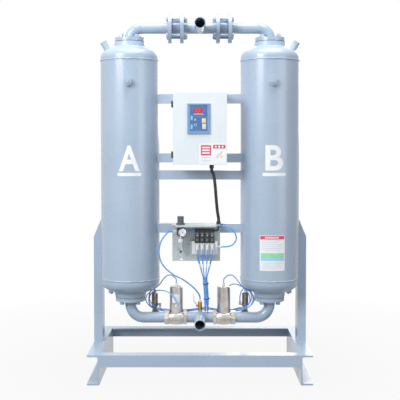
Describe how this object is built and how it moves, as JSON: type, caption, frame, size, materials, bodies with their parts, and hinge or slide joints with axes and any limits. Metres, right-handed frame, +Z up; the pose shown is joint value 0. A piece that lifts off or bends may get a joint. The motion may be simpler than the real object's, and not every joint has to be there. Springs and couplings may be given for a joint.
{
  "type": "desiccant air dryer",
  "caption": "Free-standing heatless compressed-air dryer: tall adsorption towers on a channel base, joined by flanged headers, with pneumatic switching valves and a control box.",
  "frame": {"origin": "floor level, at the middle of the base", "axes": "+Z up, +X to the right seen from the front, +Y to the back"},
  "size_m": [1.1956, 0.7, 2.0005],
  "materials": {
    "frame_paint": "semi-gloss pale blue-grey paint",
    "stainless": "satin stainless steel",
    "zinc_bolts": "zinc-plated steel",
    "gasket": "dark sheet gasket",
    "desiccant": "packed activated alumina beads",
    "brass": "plain brass",
    "lever_paint": "green-grey coated steel",
    "box_paint": "off-white powder coat",
    "hinge_black": "black coated steel",
    "controller_case": "pale blue bezel round a dark blue face",
    "black_plastic": "black plastic",
    "regulator_grey": "dark grey plastic",
    "clear_bowl": "clear plastic bowl",
    "white_plastic": "white plastic",
    "gauge_case": "white dial in a black case",
    "valve_alloy": "satin aluminium",
    "tube_blue": "blue polyurethane tube"
  },
  "bodies": {
    "stand": {"side_rails": "frame_paint", "front_rail": "frame_paint", "rear_rail": "frame_paint", "posts": "frame_paint", "cross_beams": "frame_paint", "left_tower": "frame_paint", "right_tower": "frame_paint", "desiccant_beds": "desiccant", "bed_screens": "stainless", "port_plugs": "stainless", "tower_gaskets": "gasket", "tower_flange_bolts": "zinc_bolts", "left_outlet_spool": "frame_paint", "right_outlet_spool": "frame_paint", "outlet_header": "frame_paint", "outlet_stub": "frame_paint", "check_valve_bodies": "stainless", "check_valve_gaskets": "gasket", "check_valve_bolts": "zinc_bolts", "left_inlet_spool": "frame_paint", "right_inlet_spool": "frame_paint", "inlet_header": "frame_paint", "inlet_stub": "frame_paint", "left_inlet_valve": "stainless", "right_inlet_valve": "stainless", "left_inlet_actuator": "stainless", "right_inlet_actuator": "stainless", "valve_union_nuts": "stainless", "exhaust_valves": "stainless", "exhaust_actuators": "stainless", "silencers": "brass", "pilot_valve": "brass", "control_box": "box_paint", "door_hinges": "hinge_black", "cable_glands": "black_plastic", "control_cable": "black_plastic", "coil_lead": "black_plastic", "valve_bracket": "stainless", "regulator_body": "regulator_grey", "filter_bowl": "clear_bowl", "filter_element": "white_plastic", "bowl_drain": "black_plastic", "pressure_gauge": "gauge_case", "valve_manifold": "white_plastic", "solenoid_valves": "valve_alloy", "solenoid_coils": "black_plastic", "push_fittings": "white_plastic", "supply_tube": "tube_blue", "feed_tube": "tube_blue", "control_tubes": "tube_blue"},
    "door": {"box_door": "box_paint", "controller": "controller_case"},
    "knob": {"regulator_knob": "regulator_grey"},
    "lever": {"pilot_lever": "lever_paint"},
    "left_piston": {"left_inlet_piston": "stainless"},
    "right_piston": {"right_inlet_piston": "stainless"},
    "left_vent_piston": {"left_exhaust_piston": "stainless"},
    "right_vent_piston": {"right_exhaust_piston": "stainless"},
    "left_flap": {"left_check_flap": "stainless"},
    "right_flap": {"right_check_flap": "stainless"}
  },
  "joints": [
    {"name": "door_swing", "type": "hinge", "parent": "stand", "child": "door", "pos_m": [-0.148, -0.278, 1.356], "axis": [0, 0, -1], "range_deg": [0, 120]},
    {"name": "knob_turn", "type": "hinge", "parent": "stand", "child": "knob", "pos_m": [-0.106, -0.185, 0.85], "axis": [0, 0, 1], "range_deg": [-360, 360]},
    {"name": "lever_swing", "type": "hinge", "parent": "stand", "child": "lever", "pos_m": [0, -0.075, 0.371], "axis": [1, 0, 0], "range_deg": [0, 90]},
    {"name": "left_piston_lift", "type": "slide", "parent": "stand", "child": "left_piston", "axis": [0, 0, 1], "range_m": [0, 0.014]},
    {"name": "right_piston_lift", "type": "slide", "parent": "stand", "child": "right_piston", "axis": [0, 0, 1], "range_m": [0, 0.014]},
    {"name": "left_vent_lift", "type": "slide", "parent": "stand", "child": "left_vent_piston", "axis": [0, 0, 1], "range_m": [0, 0.008]},
    {"name": "right_vent_lift", "type": "slide", "parent": "stand", "child": "right_vent_piston", "axis": [0, 0, 1], "range_m": [0, 0.008]},
    {"name": "left_flap_swing", "type": "hinge", "parent": "stand", "child": "left_flap", "pos_m": [-0.1371, -0.075, 1.9375], "axis": [0, -1, 0], "range_deg": [0, 65]},
    {"name": "right_flap_swing", "type": "hinge", "parent": "stand", "child": "right_flap", "pos_m": [0.1371, -0.075, 1.9375], "axis": [0, 1, 0], "range_deg": [0, 65]}
  ]
}
